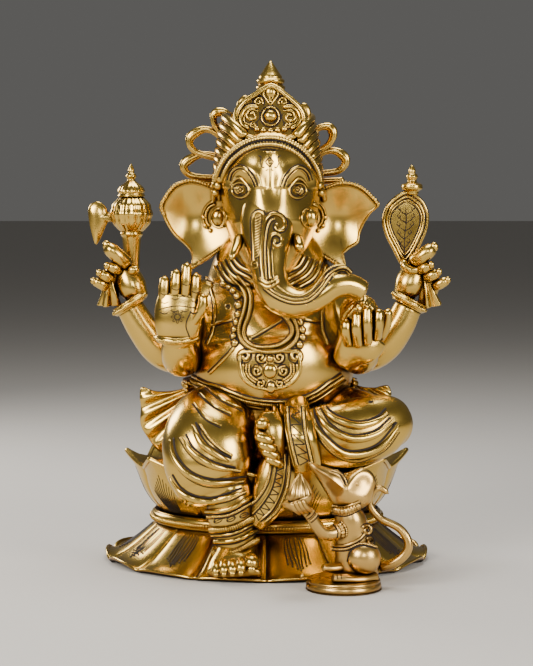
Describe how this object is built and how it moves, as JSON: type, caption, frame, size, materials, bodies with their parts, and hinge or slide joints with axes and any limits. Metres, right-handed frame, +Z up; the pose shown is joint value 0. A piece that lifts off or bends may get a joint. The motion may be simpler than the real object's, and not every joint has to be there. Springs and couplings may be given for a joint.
{
  "type": "ganesha idol",
  "caption": "Seated elephant-headed deity cast in antiqued brass on a two-tier lotus, with a loose mouse casting in front; a devotional figure for a shelf or altar",
  "frame": {"origin": "on the ground plane at the centre of the lotus base, in the plane of its rest rim", "axes": "+Z up, the figure faces -Y, +X is towards the figure's own left hand"},
  "size_m": [0.2737, 0.2548, 0.38],
  "materials": {
    "idol_brass": "polished cast brass with a dark antique patina left in the recesses",
    "mouse_brass": "polished cast brass, a little paler, with dark recesses",
    "fastener_steel": "plain steel studs, washers and nuts, dulled"
  },
  "bodies": {
    "idol": {"belt": "idol_brass", "brow_band": "idol_brass", "crown": "idol_brass", "crown_finial": "idol_brass", "crown_panel": "idol_brass", "front_left_arm": "idol_brass", "front_left_hand": "idol_brass", "front_right_arm": "idol_brass", "front_right_bangle": "idol_brass", "front_right_hand": "idol_brass", "front_sash": "idol_brass", "garland": "idol_brass", "goad": "idol_brass", "goad_blade": "idol_brass", "halo_left": "idol_brass", "halo_right": "idol_brass", "head": "idol_brass", "hips": "idol_brass", "lap_drape": "idol_brass", "left_ear": "idol_brass", "left_earring": "idol_brass", "left_foot": "idol_brass", "left_shin": "idol_brass", "left_thigh": "idol_brass", "left_tusk_broken": "idol_brass", "lotus_lower_tier": "idol_brass", "lotus_upper_tier": "idol_brass", "lotus_waist_ring": "idol_brass", "nut_left": "fastener_steel", "nut_right": "fastener_steel", "paddle": "idol_brass", "paddle_finial": "idol_brass", "pendant": "idol_brass", "rear_left_arm": "idol_brass", "rear_left_bangle": "idol_brass", "rear_left_hand": "idol_brass", "rear_right_arm": "idol_brass", "rear_right_bangle": "idol_brass", "rear_right_hand": "idol_brass", "right_ear": "idol_brass", "right_earring": "idol_brass", "right_foot": "idol_brass", "right_shin": "idol_brass", "right_thigh": "idol_brass", "right_tusk": "idol_brass", "scarf_end_left": "idol_brass", "scarf_end_right": "idol_brass", "stud_left": "fastener_steel", "stud_right": "fastener_steel", "sweet": "idol_brass", "torso": "idol_brass", "trunk": "idol_brass", "washer_left": "fastener_steel", "washer_right": "fastener_steel"},
    "mouse": {"mouse_arm": "mouse_brass", "mouse_body": "mouse_brass", "mouse_bowl_of_sweets": "mouse_brass", "mouse_head": "mouse_brass", "mouse_plate": "mouse_brass", "mouse_tail": "mouse_brass"}
  },
  "joints": [
    {"name": "mouse_draw", "type": "slide", "parent": "idol", "child": "mouse", "axis": [0, -1, 0], "range_m": [0, 0.08]}
  ]
}
